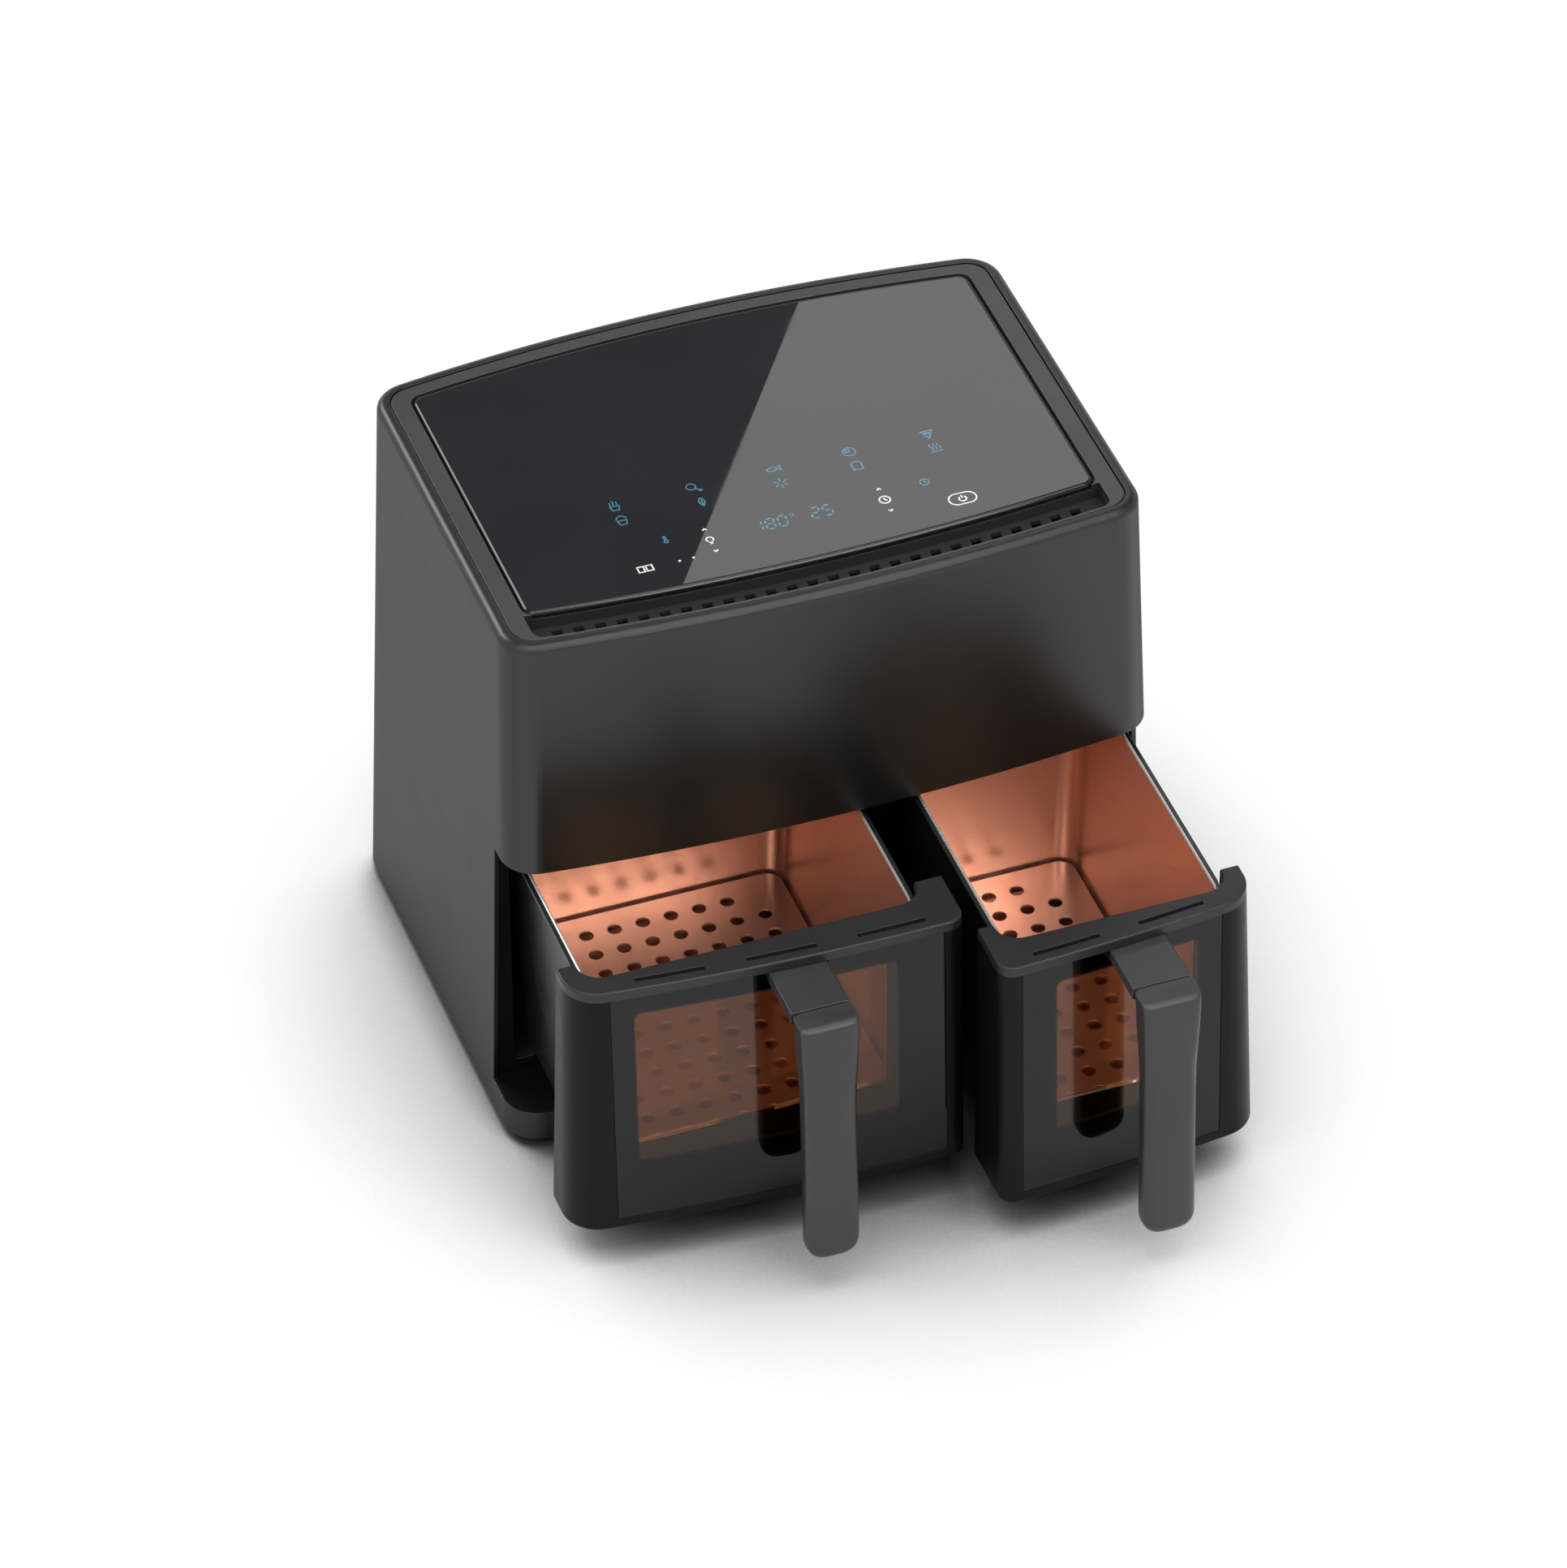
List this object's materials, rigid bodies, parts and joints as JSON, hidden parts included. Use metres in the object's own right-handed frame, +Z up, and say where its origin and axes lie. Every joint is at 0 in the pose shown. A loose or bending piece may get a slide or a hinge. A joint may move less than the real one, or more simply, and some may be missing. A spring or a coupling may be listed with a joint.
{
  "type": "air fryer",
  "caption": "Countertop air fryer: charcoal housing with a black control glass on top and two windowed drawers side by side that slide out with coated baskets.",
  "frame": {"origin": "on the surface it stands on, in the middle of its box with the drawers as pictured", "axes": "+X to the right seen from the front, +Y to the back, +Z up"},
  "size_m": [0.39, 0.4977, 0.3505],
  "materials": {
    "shell_plastic": "satin charcoal",
    "dark_plastic": "matt black",
    "frame_plastic": "satin charcoal",
    "front_plastic": "satin near-black",
    "cap_plastic": "satin charcoal",
    "handle_plastic": "satin charcoal",
    "sensor_plastic": "moulded",
    "front_glass": "tinted, printed dark outside its window",
    "inner_glass": "clear",
    "control_glass": "black printed",
    "basket_coat": "non-stick copper brown",
    "liner_steel": "plain sheet",
    "heater_steel": "dull",
    "fan_aluminium": "pressed",
    "motor_paint": "lacquered",
    "screw_steel": "zinc plated",
    "board": "circuit board",
    "rubber": "matt"
  },
  "bodies": {
    "housing": {"outer_shell": "shell_plastic", "rear_cover": "dark_plastic", "rear_screws": "screw_steel", "cord_gland": "rubber", "base_pan": "dark_plastic", "rubber_feet": "rubber", "base_screws": "screw_steel", "front_frame": "dark_plastic", "drawer_sensors": "sensor_plastic", "deck": "liner_steel", "temperature_sensors": "screw_steel", "top_frame": "frame_plastic", "control_glass": "control_glass", "touch_board": "board", "power_board": "board", "left_cavity": "liner_steel", "left_runners": "liner_steel", "left_exhaust_duct": "dark_plastic", "left_heater": "heater_steel", "left_heater_guard": "heater_steel", "left_motor": "motor_paint", "right_cavity": "liner_steel", "right_runners": "liner_steel", "right_exhaust_duct": "dark_plastic", "right_heater": "heater_steel", "right_heater_guard": "heater_steel", "right_motor": "motor_paint"},
    "left_drawer": {"left_drawer_front": "front_plastic", "left_front_glass": "front_glass", "left_drawer_cap": "cap_plastic", "left_drawer_back": "dark_plastic", "left_window_seal": "rubber", "left_inner_glass": "inner_glass", "left_magnet": "screw_steel", "left_handle_arm": "handle_plastic", "left_handle_grip": "handle_plastic", "left_handle_screws": "screw_steel", "left_basket": "basket_coat"},
    "left_plate": {"left_crisper_plate": "basket_coat", "left_plate_bumpers": "rubber"},
    "left_rotor": {"left_motor_shaft": "screw_steel", "left_hot_fan": "fan_aluminium", "left_cooling_fan": "dark_plastic"},
    "right_drawer": {"right_drawer_front": "front_plastic", "right_front_glass": "front_glass", "right_drawer_cap": "cap_plastic", "right_drawer_back": "dark_plastic", "right_window_seal": "rubber", "right_inner_glass": "inner_glass", "right_magnet": "screw_steel", "right_handle_arm": "handle_plastic", "right_handle_grip": "handle_plastic", "right_handle_screws": "screw_steel", "right_basket": "basket_coat"},
    "right_plate": {"right_crisper_plate": "basket_coat", "right_plate_bumpers": "rubber"},
    "right_rotor": {"right_motor_shaft": "screw_steel", "right_hot_fan": "fan_aluminium", "right_cooling_fan": "dark_plastic"}
  },
  "joints": [
    {"name": "left_drawer_slide", "type": "slide", "parent": "housing", "child": "left_drawer", "axis": [0, -1, 0], "range_m": [-0.103, 0.105]},
    {"name": "left_plate_lift", "type": "slide", "parent": "left_drawer", "child": "left_plate", "axis": [0, 0, 1], "range_m": [0, 0.06]},
    {"name": "left_fan_spin", "type": "hinge", "parent": "housing", "child": "left_rotor", "pos_m": [-0.08049, 0.10323, 0.25], "axis": [0, 0, 1], "continuous": true},
    {"name": "right_drawer_slide", "type": "slide", "parent": "housing", "child": "right_drawer", "axis": [0, -1, 0], "range_m": [-0.151, 0.057]},
    {"name": "right_plate_lift", "type": "slide", "parent": "right_drawer", "child": "right_plate", "axis": [0, 0, 1], "range_m": [0, 0.06]},
    {"name": "right_fan_spin", "type": "hinge", "parent": "housing", "child": "right_rotor", "pos_m": [0.11199, 0.10323, 0.25], "axis": [0, 0, 1], "continuous": true}
  ]
}
